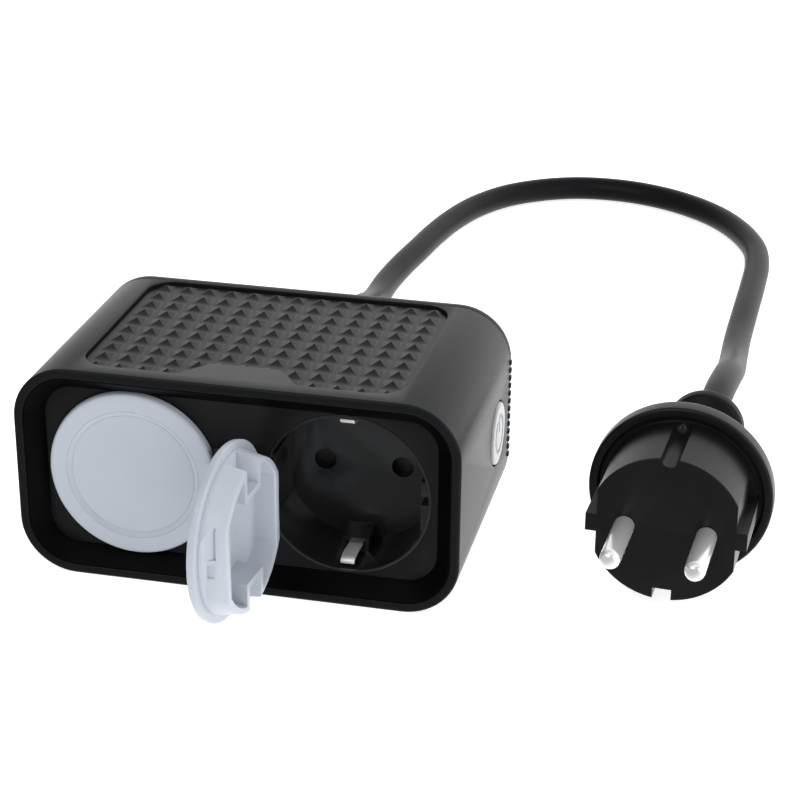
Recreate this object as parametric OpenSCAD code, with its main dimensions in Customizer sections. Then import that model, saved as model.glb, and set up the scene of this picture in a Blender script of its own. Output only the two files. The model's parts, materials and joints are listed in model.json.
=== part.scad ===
// Twin outlet smart plug: a splash-proof box with two covered round outlets,
// a power button, a mains cord and a round two-pin plug lying on the same surface.
// Origin: centre of the box's underside. +Z up, the outlets face -Y.

/* [Body] */
// Width of the box
body_w = 107; // [105:1:130]
// Height of the box
body_h = 53; // [52:1:66]
// Depth of the box, front to back
body_d = 64; // [62:1:80]
// Outer corner radius, seen from the front
corner_r = 13.5; // [11:0.5:16]
// Wall thickness, which is also the width of the front rim
wall = 2.2; // [1.9:0.1:2.4]
// Thickness of the rear cover
cover_t = 3; // [2.5:0.1:4]

/* [Front] */
// Depth from the rim to the front panel
recess_d = 4.7; // [4:0.1:5.2]
// Width of the sloped band inside the rim
band_w = 4; // [3:0.1:4.2]
// Distance between the two outlets
socket_pitch = 51.2; // [50:0.1:60]

/* [Outlets] */
// Diameter of the round well
well_d = 39.1; // [38.6:0.1:39.6]
// Depth of the well behind the front panel
well_depth = 17.5; // [17:0.1:18.5]
// Thickness of the well's floor
floor_t = 3; // [2.5:0.1:3.5]
// Distance between the two pin holes
pin_pitch = 19; // [18.8:0.1:19.2]
// Diameter of a pin hole
pin_hole_d = 5.3; // [5.2:0.1:5.6]

/* [Lids] */
// Radius of a lid's disc
lid_r = 20.8; // [20.4:0.1:21]
// Angle that the right lid stands open
lid_open = 95; // [0:1:95]
// Distance from a lid's centre to its hinge axis
hinge_arm = 21.1; // [21:0.1:21.6]

/* [Grip panel] */
// Width of the textured panel on top
panel_w = 77.6; // [60:0.2:80]
// Depth of the panel's surface below the top
panel_drop = 0.9; // [0.7:0.1:1.1]
// Spacing of the pyramids across the box
cell_x = 5.8; // [5:0.1:8]
// Spacing of the pyramids along the box
cell_y = 5.65; // [5:0.05:8]
// Height of a pyramid
stud_h = 0.65; // [0.4:0.05:0.7]

/* [Button] */
// Diameter of the power button
button_d = 16; // [12:0.5:17]
// Distance that the button travels
button_travel = 0.8; // [0.4:0.1:1]

/* [Cord and plug] */
// Diameter of the mains cord
cord_d = 8; // [6.6:0.1:8.4]
// Diameter of a plug pin
pin_d = 4.8; // [4:0.1:4.8]
// Length of a plug pin
pin_len = 19; // [18:0.5:19]
// Radius of the plug's flange
flange_r = 22; // [20:0.5:24]
// Radius of the plug's front part
nose_r = 18.2; // [17.8:0.1:18.4]
// Angle that the plug lies turned from the box's axis
plug_yaw = 3.4; // [0:0.1:5]

/* [Hidden] */
$fn = 72;

// Planes of the box
front_y = -body_d / 2;
back_y = body_d / 2;
cover_y = back_y - cover_t;
mid_z = body_h / 2;
panel_y = front_y + recess_d;
in_w = body_w - 2 * wall;
in_h = body_h - 2 * wall;
in_r = corner_r - wall;
fit = 0.3;
face_t = 2.5;
socket_x = socket_pitch / 2;

// Outlet: the well's floor and what sits behind it
well_r = well_d / 2;
floor_y = panel_y + well_depth;
under_y = floor_y + floor_t;
well_wall = 1.6;
hole_x = pin_pitch / 2;
shutter_t = 2;
shutter_y = under_y + 0.3;
shutter_lift = 6.2;
shutter_w = pin_pitch + 8;
spring_low = 3.65;
rail_t = 1.5;
carrier_y = shutter_y + shutter_t + 0.3;
carrier_t = 7;
hood_y = -18;
clip_w = 3.4;
clip_t = 0.8;
clip_z = well_r - 2.35;
clip_front = 1.3;
spring_high = clip_z - 3.35;
strap_y = carrier_y + 0.6;

// Lid: a disc over the well with a collar and a flat-sided cup behind it
lid_front = panel_y - 2.3;
lid_back = panel_y - 0.1;
collar_r = well_r - 0.65;
collar_l = 3;
cup_r = well_r - 1.75;
cup_flat = well_r - 4.25;
cup_l = 5.8;
cup_wall = 1.7;
slot_x = 3.4;
slot_z = clip_z - 5.7;
slot_wall = 1.5;
hinge_y = lid_front - 0.2;
knuckle_r = 1.2;
knuckle_l = 11;
ear_l = 3.5;
ear_gap = 0.3;
hinge_pin_r = 0.65;

// Grip panel, seated in the top of the housing
top_z = body_h;
panel_z = top_z - panel_drop;
seat_z = top_z - wall - 0.1;
panel_r = 7;
panel_y0 = panel_y;
panel_y1 = back_y - 3.5;
panel_len = panel_y1 - panel_y0;
panel_yc = (panel_y0 + panel_y1) / 2;
tab_front = 14.4;
tab_back = 10;
tab_y = panel_y0 + 7.6;
stud_w = 4.9;
seat_gap = 0.1;
ledge_t = 1.4;

// Rear cover
rear_round = 1.5;
boss_x = in_w / 2 - 5.3;
boss_z = in_h / 2 - 5.3;
boss_d = 7;
boss_l = 20;
rib_count = 13;
rib_pitch = 2.1;
gland_d = 14;
flange_out = 9.5;
boot_l = 30;

// Button on the right side
button_y = back_y - 9.5 - button_d / 2;
button_x = body_w / 2 + 0.4;
wall_x = body_w / 2 - wall;
collar_wall = 1.5;
seal_x = wall_x - 4.5;

// Boards and parts inside
board_y = carrier_y + carrier_t + 2.6;
board_t = 1.6;
board_w = 84;
board_h = 39;
parts_y = board_y + board_t;
side_board_x = wall_x - 9.6;

// Cord: from the back of the box, down to the surface, round and up to the plug
cord_r = cord_d / 2;
plug_z = flange_r;
lying_z = cord_r + 0.2;
plug_face = [98.7, -18.5];
tip_r = 1.9;
shank_r = 1.8;
shank_l = 13;
CORD_ROUTE = [
    [0, back_y - 12, mid_z], [0, back_y + 2, mid_z], [0, back_y + 18, mid_z], [0, 66, mid_z], [-1, 82, 25], [-3, 99, 21],
    [-5.5, 116, 15.5], [-8, 133, 9.5], [-9.6, 149, 5.4], [-10.2, 166, lying_z], [-9, 182, lying_z],
    [-7, 198, lying_z], [-5, 214, lying_z], [-2, 230, lying_z], [3, 246, lying_z], [11, 260, lying_z],
    [22, 270, lying_z], [35, 276, lying_z], [49, 277, lying_z], [62, 274, lying_z], [75, 267, lying_z],
    [87, 256, lying_z], [96, 242, lying_z], [102, 226, lying_z], [104, 210, lying_z], [104, 192, lying_z],
    [103.5, 170, lying_z], [103, 146, lying_z], [103.4, 124, 6.5], [104.2, 102, 12.5], [104.4, 82, 19],
    [103.6, 64, plug_z], [102.6, 47.4, plug_z], [102.1, 38, plug_z]
];

// Outline of a rounded rectangle
module rounded_rect(w, h, r) {
    square([w - 2 * r, h], center = true);
    square([w, h - 2 * r], center = true);
    for (sx = [-1, 1], sy = [-1, 1])
        translate([sx * (w / 2 - r), sy * (h / 2 - r)]) circle(r);
}

// Rounded block along Y, centred on the box's mid-height
module slab(w, h, r, y0, y1) {
    translate([0, y1, mid_z]) rotate([90, 0, 0]) linear_extrude(y1 - y0) rounded_rect(w, h, r);
}

// Frame between two rounded outlines
module frame(w, h, r, t, y0, y1) {
    difference() {
        slab(w, h, r, y0, y1);
        slab(w - 2 * t, h - 2 * t, r - t, y0 - 1, y1 + 1);
    }
}

// Round bar along Y from y0 to y1
module bar_y(r, y0, y1) {
    translate([0, y1, 0]) rotate([90, 0, 0]) cylinder(r = r, h = y1 - y0);
}

// Round bar along X from x0 to x1
module bar_x(r, x0, x1) {
    translate([x0, 0, 0]) rotate([0, 90, 0]) cylinder(r = r, h = x1 - x0);
}

// Box given by its low and high corners
module block(low, high) {
    translate(low) cube(high - low);
}

// Places a part at one outlet: side is 1 for the right and -1 for the left, its mirror image
module at_outlet(side) {
    translate([side * socket_x, 0, mid_z]) mirror([side < 0 ? 1 : 0, 0, 0]) children();
}

// Places a part at the button, with the button's axis along X
module at_button() {
    translate([0, button_y, mid_z]) children();
}

// Places a part on the plug: its face at Y = 0 and its axis along +Y
module at_plug() {
    translate([plug_face[0], plug_face[1], plug_z]) rotate([0, 0, -plug_yaw]) children();
}

// Smooth curve through the route's points
function curve(p0, p1, p2, p3, t) =
    0.5 * (2 * p1 + (p2 - p0) * t + (2 * p0 - 5 * p1 + 4 * p2 - p3) * t * t
    + (3 * p1 - p0 - 3 * p2 + p3) * t * t * t);
function smooth(points, steps) = let (n = len(points)) [
    for (i = [0 : n - 2], s = [0 : steps - 1])
        curve(points[max(i - 1, 0)], points[i], points[i + 1], points[min(i + 2, n - 1)], s / steps),
    points[n - 1]
];
function unit(v) = v / norm(v);
function heading(path, i) = unit(path[min(i + 1, len(path) - 1)] - path[max(i - 1, 0)]);
function ring(centre, along, r, sides) =
    let (side = unit(cross(along, [0, 0, 1])), up = cross(side, along))
    [for (k = [0 : sides - 1]) centre + r * (cos(360 * k / sides) * side + sin(360 * k / sides) * up)];

// Tube swept along a path
module tube(path, r, sides) {
    rings = len(path);
    points = [for (i = [0 : rings - 1]) each ring(path[i], heading(path, i), r, sides)];
    skin = [for (i = [0 : rings - 2], k = [0 : sides - 1])
        let (n = (k + 1) % sides)
        [i * sides + k, i * sides + n, (i + 1) * sides + n, (i + 1) * sides + k]];
    start = [for (k = [sides - 1 : -1 : 0]) k];
    end = [for (k = [0 : sides - 1]) (rings - 1) * sides + k];
    polyhedron(points = points, faces = concat(skin, [start, end]), convexity = 6);
}

// Outline of the smooth tab at the front of the top
module tab_outline(grow) {
    w0 = tab_front + grow;
    w1 = tab_back + grow;
    r = 3;
    y1 = tab_y + grow;
    polygon([[-w0, panel_y0 - 0.6], [w0, panel_y0 - 0.6], [w1 + 0.4, y1 - r], [w1 - r, y1],
        [r - w1, y1], [-w1 - 0.4, y1 - r]]);
    for (s = [-1, 1]) translate([s * (w1 - r + 0.1), y1 - r]) circle(r);
}

// Outline of the seat in the top of the housing; gap shrinks it to the panel's own outline
module seat_outline(gap) {
    difference() {
        translate([0, panel_yc]) rounded_rect(panel_w - 2 * gap, panel_len - 2 * gap, panel_r - gap);
        tab_outline(gap);
    }
}

module housing() {
    color([0.33, 0.34, 0.35]) difference() {
        union() {
            frame(body_w, body_h, corner_r, wall, front_y, cover_y);
            // Wedge under the sloped band
            difference() {
                slab(in_w + 0.4, in_h + 0.4, in_r + 0.2, front_y, panel_y);
                band_opening();
            }
            // Ledge under the grip panel
            difference() {
                translate([0, 0, seat_z - ledge_t]) linear_extrude(ledge_t + 0.3)
                    translate([0, panel_yc + 2]) rounded_rect(panel_w + 3, panel_len - 2, panel_r + 1.5);
                block([-body_w, cover_y - 2.5, 0], [body_w, cover_y + 9, body_h]);
            }
            // Screw bosses behind the rear corners
            for (sx = [-1, 1], sz = [-1, 1]) translate([sx * boss_x, 0, mid_z + sz * boss_z])
                bar_y(boss_d / 2, cover_y - boss_l, cover_y);
            // Stops that the main board rests on
            for (s = [-1, 1]) {
                side = s * (in_w / 2 + 0.2);
                inner = s * (board_w / 2 - 0.8);
                block([min(side, inner), board_y - 3, mid_z - 4], [max(side, inner), board_y, mid_z + 4]);
            }
            // Collar that guides the button and holds its seal
            at_button() bar_x(button_d / 2 + 2.6 + collar_wall, seal_x - 0.8, wall_x + 0.2);
        }
        // Seat of the grip panel, and the window inside its ledge
        translate([0, 0, seat_z]) linear_extrude(wall + 1) seat_outline(0);
        translate([0, 0, seat_z - ledge_t - 1]) linear_extrude(ledge_t + 2)
            translate([0, (tab_y + 2 + panel_y1 - 3) / 2])
            rounded_rect(panel_w - 6, panel_y1 - 3 - tab_y - 2, panel_r - 3);
        at_button() bar_x(button_d / 2 + fit, wall_x - 8, body_w);
        at_button() bar_x(button_d / 2 + 2.6, seal_x - 2, wall_x);
        for (sx = [-1, 1], sz = [-1, 1]) translate([sx * boss_x, 0, mid_z + sz * boss_z])
            bar_y(1.25, cover_y - 14, cover_y + 1);
    }
}

// Space in front of the front panel, narrowing from the rim
module band_opening() {
    hull() {
        slab(in_w, in_h, in_r, front_y - 1, front_y);
        slab(in_w - 2 * band_w, in_h - 2 * band_w, in_r - band_w, panel_y - 0.01, panel_y + 1);
    }
}

module grip_panel() {
    color([0.30, 0.31, 0.32]) {
        translate([0, 0, seat_z]) linear_extrude(panel_z - seat_z) seat_outline(seat_gap);
        intersection() {
            translate([0, 0, seat_z + 0.2]) linear_extrude(wall + 1) seat_outline(seat_gap);
            for (i = [-6 : 6], j = [0 : 9])
                translate([i * cell_x, panel_y1 - 3.2 - j * cell_y, panel_z]) stud();
        }
    }
}

// One flat-sided pyramid of the texture, sunk a little into the panel
module stud() {
    half = stud_w / 2;
    sunk = 0.2;
    polyhedron(points = [
        [-half, -half, -sunk], [half, -half, -sunk], [half, half, -sunk], [-half, half, -sunk],
        [-half, -half, 0], [half, -half, 0], [half, half, 0], [-half, half, 0], [0, 0, stud_h]],
        faces = [[0, 1, 2, 3], [4, 5, 1, 0], [5, 6, 2, 1], [6, 7, 3, 2], [7, 4, 0, 3],
        [8, 5, 4], [8, 6, 5], [8, 7, 6], [8, 4, 7]]);
}

module front_panel() {
    color([0.13, 0.13, 0.14]) difference() {
        union() {
            slab(in_w - 0.6, in_h - 0.6, in_r - 0.3, panel_y, panel_y + face_t);
            // Ears that hold the hinge pins
            for (side = [-1, 1], s = [-1, 1]) at_outlet(side) translate([-hinge_arm, hinge_y, 0]) {
                low = s > 0 ? knuckle_l / 2 + ear_gap : -knuckle_l / 2 - ear_gap - ear_l;
                translate([0, 0, low]) cylinder(r = knuckle_r, h = ear_l);
                block([-knuckle_r, 0, low], [0.5, panel_y - hinge_y + 0.5, low + ear_l]);
            }
        }
        for (side = [-1, 1]) at_outlet(side) {
            bar_y(well_r + 0.8, panel_y - 1, panel_y + face_t + 1);
            translate([-hinge_arm, hinge_y, 0]) cylinder(r = hinge_pin_r, h = 40, center = true);
        }
        // Groove for the seal
        frame(in_w - 3.6, in_h - 3.6, in_r - 1.8, 1.4, panel_y - 1, panel_y + 1);
    }
}

module front_seal() {
    color([0.06, 0.06, 0.06])
        frame(in_w - 3.6, in_h - 3.6, in_r - 1.8, 1.4, panel_y, panel_y + 1);
}

// A slice of the rear cover, set in from the box's outline
module cover_slice(inset, y) {
    slab(body_w - 2 * inset, body_h - 2 * inset, corner_r - inset, y - 0.1, y, $fn = 48);
}

module rear_cover() {
    color([0.12, 0.12, 0.13]) difference() {
        union() {
            slab(body_w, body_h, corner_r, cover_y, back_y - rear_round, $fn = 48);
            hull() {
                cover_slice(0, back_y - rear_round);
                cover_slice(rear_round * 0.13, back_y - rear_round * 0.5);
                cover_slice(rear_round * 0.5, back_y - rear_round * 0.13);
                cover_slice(rear_round, back_y);
            }
            frame(in_w - 2 * fit, in_h - 2 * fit, in_r - fit, 1.8, cover_y - 2.2, cover_y + 0.5);
            // Grip ribs on both side edges
            for (sx = [-1, 1], k = [0 : rib_count - 1])
                translate([sx * body_w / 2, cover_y + 0.9, mid_z + (k - (rib_count - 1) / 2) * rib_pitch])
                    cube([0.7, 1.3, 1.05], center = true);
        }
        translate([0, 0, mid_z]) bar_y(gland_d / 2 + 0.1, cover_y - 3, back_y + 1);
        for (sx = [-1, 1], sz = [-1, 1]) translate([sx * boss_x, 0, mid_z + sz * boss_z]) {
            bar_y(1.7, cover_y - 3, back_y + 1);
            bar_y(3.1, back_y - 1.6, back_y + 1);
            bar_y(boss_d / 2 + 0.3, cover_y - 3, cover_y);
        }
        // Groove for the seal
        frame(in_w + 2, in_h + 2, in_r + 1, 2.2, cover_y - 1.7, cover_y - 0.9);
    }
}

module rear_seal() {
    color([0.06, 0.06, 0.06]) difference() {
        frame(in_w - 0.4, in_h - 0.4, in_r - 0.2, 1, cover_y - 1.7, cover_y - 0.9);
        for (sx = [-1, 1], sz = [-1, 1]) translate([sx * boss_x, 0, mid_z + sz * boss_z])
            bar_y(boss_d / 2 + 0.1, cover_y - 3, cover_y);
    }
}

module rear_screws() {
    color([0.7, 0.7, 0.72]) for (sx = [-1, 1], sz = [-1, 1])
        translate([sx * boss_x, 0, mid_z + sz * boss_z]) difference() {
            union() {
                bar_y(1.2, cover_y - 9, back_y - 1);
                bar_y(2.8, back_y - 1.6, back_y - 0.2);
            }
            translate([0, back_y - 0.2, 0]) cube([3.4, 1.4, 0.7], center = true);
            translate([0, back_y - 0.2, 0]) cube([0.7, 1.4, 3.4], center = true);
        }
}

module socket_well(side) {
    color([0.10, 0.10, 0.11]) at_outlet(side) {
        difference() {
            union() {
                bar_y(well_r + 0.7, panel_y, under_y);
                bar_y(well_r + well_wall, panel_y + face_t, under_y);
                // Rails that guide the shutter
                for (s = [-1, 1]) {
                    inner = shutter_w / 2 + 0.3;
                    x0 = min(s * inner, s * (inner + rail_t));
                    block([x0, under_y - 0.5, -13], [x0 + rail_t, shutter_y + shutter_t, 13]);
                }
                // Stop for the upper end of the shutter's spring
                block([-2.5, under_y - 0.5, spring_high], [2.5, shutter_y + shutter_t, spring_high + 2]);
            }
            bar_y(well_r, panel_y - 1, floor_y);
            for (s = [-1, 1]) translate([s * hole_x, 0, 0]) bar_y(pin_hole_d / 2, floor_y - 1, under_y + 1);
            for (s = [-1, 1]) {
                z0 = s > 0 ? clip_z - 0.3 : -clip_z - clip_t - 0.3;
                block([-clip_w / 2 - 0.3, floor_y - 1, z0], [clip_w / 2 + 0.3, under_y + 1, z0 + clip_t + 0.6]);
            }
        }
        // Guide flats at the sides of the well
        intersection() {
            bar_y(well_r + 0.4, panel_y + 1, floor_y + 0.5);
            union() {
                block([-well_r - 1, panel_y + 1, -8], [2.55 - well_r, floor_y + 0.5, 8]);
                block([well_r - 2.05, panel_y + 1, -7.4], [well_r + 1, floor_y + 0.5, -1]);
                block([well_r - 2.05, panel_y + 1, 1.3], [well_r + 1, floor_y + 0.5, 4.9]);
                // Hoods over the rear half of the earth clips
                for (s = [-1, 1]) {
                    z0 = s > 0 ? clip_z - 1.3 : -well_r - 1;
                    difference() {
                        block([-3.2, hood_y, z0], [3.2, floor_y + 0.5, z0 + well_r + 2.3 - clip_z]);
                        block([-clip_w / 2 - 0.3, hood_y - 1, s > 0 ? clip_z - 0.3 : -clip_z - clip_t - 0.3],
                            [clip_w / 2 + 0.3, floor_y + 1, s > 0 ? clip_z + clip_t + 0.3 : -clip_z + 0.3]);
                    }
                }
            }
        }
    }
}
module socket_left() socket_well(-1);
module socket_right() socket_well(1);

// Earth clip: two spring strips joined by a strap behind the well
module earth_clip(side) {
    color([0.85, 0.84, 0.80]) at_outlet(side) {
        for (s = [-1, 1]) {
            z0 = s > 0 ? clip_z : -clip_z - clip_t;
            difference() {
                block([-clip_w / 2, panel_y + clip_front, z0], [clip_w / 2, strap_y + clip_t, z0 + clip_t]);
                for (e = [-1, 1]) translate([e * clip_w / 2, panel_y + clip_front, z0 - 1])
                    rotate([0, 0, 45]) cube([1.8, 1.8, 4], center = true);
            }
        }
        block([-clip_w / 2, strap_y, -clip_z - clip_t], [clip_w / 2, strap_y + clip_t, clip_z + clip_t]);
    }
}
module earth_clip_left() earth_clip(-1);
module earth_clip_right() earth_clip(1);

// Carrier that holds the pin contacts and closes the shutter's track
module contact_carrier(side) {
    color([0.75, 0.74, 0.70]) at_outlet(side) difference() {
        block([-shutter_w / 2 - 1.8, carrier_y, -13], [shutter_w / 2 + 1.8, carrier_y + carrier_t, 16.4]);
        for (s = [-1, 1]) block([s * hole_x - 3.4, carrier_y - 1, -4.2], [s * hole_x + 3.4, carrier_y + 20, 4.2]);
        block([-clip_w / 2 - 0.3, carrier_y - 1, -30], [clip_w / 2 + 0.3, strap_y + clip_t + 0.3, 30]);
    }
}
module contact_carrier_left() contact_carrier(-1);
module contact_carrier_right() contact_carrier(1);

// Pin contact: two leaves that grip the pin and a bridge behind
module pin_contact(side, hole) {
    color([0.80, 0.62, 0.30]) at_outlet(side) translate([hole * hole_x, 0, 0]) {
        for (s = [-1, 1]) {
            z0 = s > 0 ? pin_d / 2 : -pin_d / 2 - 0.8;
            block([-2.6, carrier_y + 0.3, z0], [2.6, carrier_y + carrier_t, z0 + 0.8]);
        }
        block([-2.6, carrier_y + carrier_t - 0.8, -pin_d / 2 - 0.8], [2.6, carrier_y + carrier_t, pin_d / 2 + 0.8]);
        block([-1, carrier_y + carrier_t - 0.4, -0.5], [1, board_y, 0.5]);
    }
}
module live_contact_left() pin_contact(-1, -1);
module neutral_contact_left() pin_contact(-1, 1);
module live_contact_right() pin_contact(1, -1);
module neutral_contact_right() pin_contact(1, 1);

// Shutter: closes both pin holes until it is lifted
module shutter(side) {
    color([0.12, 0.12, 0.13]) at_outlet(side) difference() {
        block([-shutter_w / 2, shutter_y, -11], [shutter_w / 2, shutter_y + shutter_t, 3.6]);
        for (s = [-1, 1]) translate([s * hole_x, 0, -shutter_lift])
            bar_y(pin_hole_d / 2 + 0.3, shutter_y - 1, shutter_y + shutter_t + 1);
    }
}
module shutter_left() shutter(-1);
module shutter_right() shutter(1);

// Flat zigzag spring above the shutter, standing along Z
module shutter_spring(side) {
    legs = 10;
    strip = 0.4;
    half = 2.2;
    rise = (spring_high - spring_low - strip) / legs;
    color([0.78, 0.78, 0.80]) at_outlet(side) translate([0, shutter_y + shutter_t / 2 + 0.4, 0])
        rotate([90, 0, 0]) linear_extrude(0.8) for (i = [0 : legs - 1]) {
            s = i % 2 == 0 ? 1 : -1;
            z0 = spring_low + rise * i;
            polygon([[-s * half, z0], [s * half, z0 + rise], [s * half, z0 + rise + strip], [-s * half, z0 + strip]]);
        }
}
module shutter_spring_left() shutter_spring(-1);
module shutter_spring_right() shutter_spring(1);

// Round outline with a flat on each side
module flat_sided(r, flat) {
    intersection() {
        circle(r);
        square([2 * flat, 3 * r], center = true);
    }
}

// Round bar along Y with a flat on each side, from y0 to y1
module flat_bar(r, flat, y0, y1) {
    translate([0, y1, 0]) rotate([90, 0, 0]) linear_extrude(y1 - y0) flat_sided(r, flat);
}

// Lid, drawn closed over an outlet at the origin with its hinge on the left
module lid_shape() {
    difference() {
        union() {
            translate([0, lid_back, 0]) rotate([90, 0, 0]) rotate_extrude() lid_profile();
            bar_y(collar_r, lid_back - 0.3, lid_back + collar_l);
            flat_bar(cup_r, cup_flat, lid_back - 0.3, lid_back + cup_l);
            // Knuckle on the hinge axis, joined to the disc
            translate([-hinge_arm, hinge_y, 0]) {
                cylinder(r = knuckle_r, h = knuckle_l, center = true);
                block([0, 0.2, -knuckle_l / 2], [3, knuckle_r, knuckle_l / 2]);
            }
        }
        // Inside of the cup, round the walls of the two slots
        difference() {
            flat_bar(cup_r - cup_wall, cup_flat - cup_wall, lid_back - 0.4, lid_back + cup_l + 1);
            for (s = [-1, 1]) slot_box(s, slot_wall);
        }
        // Slots that pass the earth clips
        for (s = [-1, 1]) slot_box(s, 0);
        // Flats that pass the guides of the well
        for (s = [-1, 1])
            block([s > 0 ? well_r - 3.15 : -20, lid_back + 0.4, -9],
                [s > 0 ? 20 : 3.35 - well_r, lid_back + 30, 9]);
        translate([-hinge_arm, hinge_y, 0]) cylinder(r = hinge_pin_r + 0.07, h = 20, center = true);
    }
}

// Space of one clip slot at the top (s = 1) or bottom (s = -1) of a lid, grown by its wall
module slot_box(s, grow) {
    inner = slot_z - grow;
    block([-slot_x - grow, lid_back + 0.6 - 1.2 * grow, s > 0 ? inner : -20],
        [slot_x + grow, lid_back + 20, s > 0 ? 20 : -inner]);
}

// Half section of the disc: rounded rim, sloped ring and sunken centre
module lid_profile() {
    t = lid_back - lid_front;
    edge = 1.2;
    ring_out = 16.3;
    ring_in = 15.2;
    sunk = 0.6;
    polygon([[0, 0], [lid_r, 0], [lid_r, t - edge], [lid_r - 0.35, t - 0.35], [lid_r - edge, t],
        [ring_out, t], [ring_in, t - sunk], [0, t - sunk]]);
}

module lid_left() {
    color([0.77, 0.80, 0.84]) at_outlet(-1) lid_shape();
}

module lid_right() {
    color([0.77, 0.80, 0.84]) at_outlet(1) translate([-hinge_arm, hinge_y, 0]) rotate([0, 0, -lid_open])
        translate([hinge_arm, -hinge_y, 0]) lid_shape();
}

module hinge_pin(side) {
    length = knuckle_l + 2 * ear_gap + 2 * ear_l;
    color([0.80, 0.80, 0.82]) at_outlet(side) translate([-hinge_arm, hinge_y, 0])
        cylinder(r = hinge_pin_r, h = length, center = true);
}
module hinge_pin_left() hinge_pin(-1);
module hinge_pin_right() hinge_pin(1);

// Power button: cap, flange behind the wall and a stem down to the switch
module power_button() {
    color([0.86, 0.87, 0.89]) at_button() difference() {
        union() {
            bar_x(button_d / 2, wall_x - 1, button_x);
            bar_x(button_d / 2 + 1.2, wall_x - 1.5, wall_x - 0.1);
            bar_x(2, seal_x - 2.3, wall_x - 1);
        }
        // Shallow power symbol: a broken circle and a line
        power_symbol();
    }
}

module power_symbol() {
    mark_r = 4.5;
    line_w = 0.9;
    depth = 0.25;
    difference() {
        bar_x(mark_r + line_w / 2, button_x - depth, button_x + 1);
        bar_x(mark_r - line_w / 2, button_x - depth - 1, button_x + 2);
        block([button_x - 2, -1.6, 0], [button_x + 2, 1.6, 9]);
    }
    block([button_x - depth, -line_w / 2, 0.4], [button_x + 1, line_w / 2, 5.4]);
}

module button_seal() {
    color([0.08, 0.08, 0.08]) at_button() difference() {
        bar_x(button_d / 2 + 2.6, seal_x - 0.8, seal_x);
        bar_x(2.3, seal_x - 2, seal_x + 1);
    }
}

module button_board() {
    color([0.05, 0.30, 0.16])
        block([side_board_x - board_t, button_y - 7, mid_z - 8], [side_board_x, button_y + 7, mid_z + 8]);
}

module button_switch() {
    color([0.15, 0.15, 0.16]) at_button() {
        block([side_board_x, -3, -3], [seal_x - 2.3 - button_travel - 1.0, 3, 3]);
        bar_x(1.6, side_board_x + 1, seal_x - 2.3 - button_travel - 0.15);
    }
}

// Main board with what it carries
module main_board() {
    color([0.05, 0.32, 0.18]) block([-board_w / 2, board_y, mid_z - board_h / 2],
        [board_w / 2, board_y + board_t, mid_z + board_h / 2]);
}

module relay(side) {
    x0 = side > 0 ? 12 : -31;
    color([0.15, 0.32, 0.62]) block([x0, parts_y, mid_z + 1], [x0 + 19, parts_y + 15.5, mid_z + 16.5]);
}
module relay_left() relay(-1);
module relay_right() relay(1);

module power_module() {
    color([0.12, 0.12, 0.13]) block([-32, parts_y, mid_z - 18], [-12, parts_y + 13, mid_z - 2]);
}

module wireless_module() {
    color([0.10, 0.22, 0.30]) block([12, parts_y, mid_z - 18], [30, parts_y + 1, mid_z - 2]);
    color([0.75, 0.75, 0.76]) block([13.5, parts_y + 1, mid_z - 17], [28.5, parts_y + 3, mid_z - 8]);
}

module smoothing_capacitor() {
    color([0.16, 0.16, 0.20]) translate([-37, 0, mid_z + 6]) bar_y(4, parts_y, parts_y + 14);
}

module fuse() {
    color([0.85, 0.83, 0.76]) translate([0, parts_y + 2.6, mid_z + 14]) bar_x(2.4, -8, 8);
    color([0.80, 0.80, 0.80]) for (s = [-1, 1]) translate([0, parts_y + 2.6, mid_z + 14])
        bar_x(2.6, s > 0 ? 8 : -11, s > 0 ? 11 : -8);
}

module surge_varistor() {
    color([0.10, 0.35, 0.65]) translate([36.5, parts_y + 6.5, mid_z - 12]) bar_x(5.5, -2, 2);
}

module terminal_block() {
    color([0.20, 0.45, 0.25]) difference() {
        block([-8.5, parts_y, mid_z - 18], [8.5, parts_y + 9, mid_z - 9]);
        for (x = [-5.4, 0, 5.4]) translate([x, parts_y + 4.5, mid_z - 12]) cylinder(r = 1.5, h = 4);
    }
}

// Cord cores from the end of the cord to the terminal block
module core_wires() {
    colours = [[0.45, 0.28, 0.15], [0.25, 0.60, 0.25], [0.15, 0.30, 0.70]];
    for (k = [0 : 2]) {
        x = 5.4 * (k - 1);
        path = smooth([[x / 3, CORD_ROUTE[0][1] - 0.2, mid_z], [x / 2, CORD_ROUTE[0][1] - 3, mid_z - 0.5],
            [x, parts_y + 4.8, mid_z - 4], [x, parts_y + 4.5, mid_z - 8], [x, parts_y + 4.5, mid_z - 11.5]], 4);
        color(colours[k]) tube(path, 1, 8);
    }
}

module status_led() {
    color([0.90, 0.95, 0.98]) at_button() translate([0, -5, 5]) bar_x(1.2, side_board_x, side_board_x + 1.5);
}

module cable_gland() {
    color([0.10, 0.10, 0.11]) translate([0, 0, mid_z]) difference() {
        union() {
            bar_y(gland_d / 2, cover_y - 6, back_y + 1);
            bar_y(flange_out, back_y, back_y + 2);
            translate([0, back_y + 1.5, 0]) rotate([-90, 0, 0])
                cylinder(r1 = gland_d / 2, r2 = cord_r + 1.2, h = boot_l - 1.5);
        }
        bar_y(cord_r, cover_y - 10, back_y + boot_l + 10);
    }
}

module gland_nut() {
    color([0.15, 0.15, 0.16]) translate([0, cover_y - 0.1, mid_z]) rotate([90, 0, 0]) difference() {
        linear_extrude(3.6) circle(r = 10.5, $fn = 6);
        translate([0, 0, -1]) cylinder(r = gland_d / 2, h = 8);
    }
}

module cord() {
    color([0.08, 0.08, 0.08]) tube(smooth(CORD_ROUTE, 2), cord_r, 12);
}

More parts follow.
